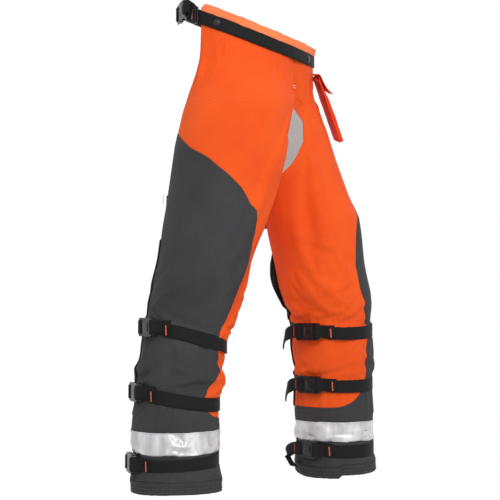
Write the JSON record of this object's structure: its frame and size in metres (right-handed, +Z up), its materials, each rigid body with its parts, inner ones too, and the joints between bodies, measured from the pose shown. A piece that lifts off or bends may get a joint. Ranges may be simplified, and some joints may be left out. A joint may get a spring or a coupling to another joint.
{
  "type": "chainsaw chaps",
  "caption": "Apron-style leg protectors worn over trousers for chainsaw work: waist belt, padded leg panels open behind the thigh, wrapped calves and side release buckles.",
  "frame": {"origin": "centre of the waist ring, where the belt goes round the wearer", "axes": "+Z up, the wearer faces -Y, the wearer's left is +X"},
  "size_m": [0.5254, 0.3161, 0.9305],
  "materials": {
    "shell_orange": "woven",
    "shell_grey": "woven",
    "hem_grey": "woven, stitched",
    "waistband_orange": "woven",
    "pocket_orange": "woven",
    "pad_fibre": "knitted layers",
    "lining_light": "mesh",
    "reflective_silver": "reflective",
    "thread_orange": "thread",
    "snap_black": "gloss",
    "webbing_black": "ribbed webbing",
    "buckle_plastic": "satin"
  },
  "bodies": {
    "root": {"front_panel_right": "shell_orange", "front_panel_left": "shell_orange", "side_panel_right": "shell_grey", "side_panel_left": "shell_grey", "lower_panel_right": "shell_grey", "lower_panel_left": "shell_grey", "hem_band_right": "hem_grey", "hem_band_left": "hem_grey", "back_wrap_right": "shell_grey", "back_wrap_left": "shell_grey", "protective_pad_right": "pad_fibre", "protective_pad_left": "pad_fibre", "lining_right": "lining_light", "lining_left": "lining_light", "reflective_tape_right": "reflective_silver", "reflective_tape_left": "reflective_silver", "waistband": "waistband_orange", "belt_webbing": "webbing_black", "belt_slider": "buckle_plastic", "snap_caps": "snap_black", "bartacks": "thread_orange", "belt_buckle_female": "buckle_plastic", "pocket_back": "pocket_orange", "pocket_front": "pocket_orange", "pocket_gusset": "pocket_orange", "strap_right_1": "webbing_black", "buckle_female_right_1": "buckle_plastic", "strap_right_2": "webbing_black", "buckle_female_right_2": "buckle_plastic", "strap_right_3": "webbing_black", "buckle_female_right_3": "buckle_plastic", "strap_right_4": "webbing_black", "buckle_female_right_4": "buckle_plastic", "strap_left_1": "webbing_black", "buckle_female_left_1": "buckle_plastic", "strap_left_2": "webbing_black", "buckle_female_left_2": "buckle_plastic", "strap_left_3": "webbing_black", "buckle_female_left_3": "buckle_plastic", "strap_left_4": "webbing_black", "buckle_female_left_4": "buckle_plastic"},
    "belt_release": {"belt_buckle_male": "buckle_plastic", "belt_tail": "webbing_black"},
    "strap_release_right_1": {"buckle_male_right_1": "buckle_plastic", "strap_tail_right_1": "webbing_black"},
    "strap_release_right_2": {"buckle_male_right_2": "buckle_plastic", "strap_tail_right_2": "webbing_black"},
    "strap_release_right_3": {"buckle_male_right_3": "buckle_plastic", "strap_tail_right_3": "webbing_black"},
    "strap_release_right_4": {"buckle_male_right_4": "buckle_plastic", "strap_tail_right_4": "webbing_black"},
    "strap_release_left_1": {"buckle_male_left_1": "buckle_plastic", "strap_tail_left_1": "webbing_black"},
    "strap_release_left_2": {"buckle_male_left_2": "buckle_plastic", "strap_tail_left_2": "webbing_black"},
    "strap_release_left_3": {"buckle_male_left_3": "buckle_plastic", "strap_tail_left_3": "webbing_black"},
    "strap_release_left_4": {"buckle_male_left_4": "buckle_plastic", "strap_tail_left_4": "webbing_black"},
    "flap": {"pocket_flap": "pocket_orange"}
  },
  "joints": [
    {"name": "belt_buckle_slide", "type": "slide", "parent": "root", "child": "belt_release", "axis": [0.5746, 0.8184, 0], "range_m": [0, 0.022]},
    {"name": "buckle_slide_right_1", "type": "slide", "parent": "root", "child": "strap_release_right_1", "axis": [0.9511, -0.309, 0], "range_m": [0, 0.022]},
    {"name": "buckle_slide_right_2", "type": "slide", "parent": "root", "child": "strap_release_right_2", "axis": [0.4067, 0.9135, 0], "range_m": [0, 0.022]},
    {"name": "buckle_slide_right_3", "type": "slide", "parent": "root", "child": "strap_release_right_3", "axis": [0.5592, 0.829, 0], "range_m": [0, 0.022]},
    {"name": "buckle_slide_right_4", "type": "slide", "parent": "root", "child": "strap_release_right_4", "axis": [0.6157, 0.788, 0], "range_m": [0, 0.022]},
    {"name": "buckle_slide_left_1", "type": "slide", "parent": "root", "child": "strap_release_left_1", "axis": [0.9703, 0.2419, 0], "range_m": [0, 0.022]},
    {"name": "buckle_slide_left_2", "type": "slide", "parent": "root", "child": "strap_release_left_2", "axis": [0.1045, 0.9945, 0], "range_m": [0, 0.022]},
    {"name": "buckle_slide_left_3", "type": "slide", "parent": "root", "child": "strap_release_left_3", "axis": [0.1392, 0.9903, 0], "range_m": [0, 0.022]},
    {"name": "buckle_slide_left_4", "type": "slide", "parent": "root", "child": "strap_release_left_4", "axis": [0.2419, 0.9703, 0], "range_m": [0, 0.022]},
    {"name": "pocket_flap_hinge", "type": "hinge", "parent": "root", "child": "flap", "pos_m": [0.12042, -0.07844, -0.0586], "axis": [-0.7646, -0.5974, -0.2419], "range_deg": [0, 45]}
  ]
}
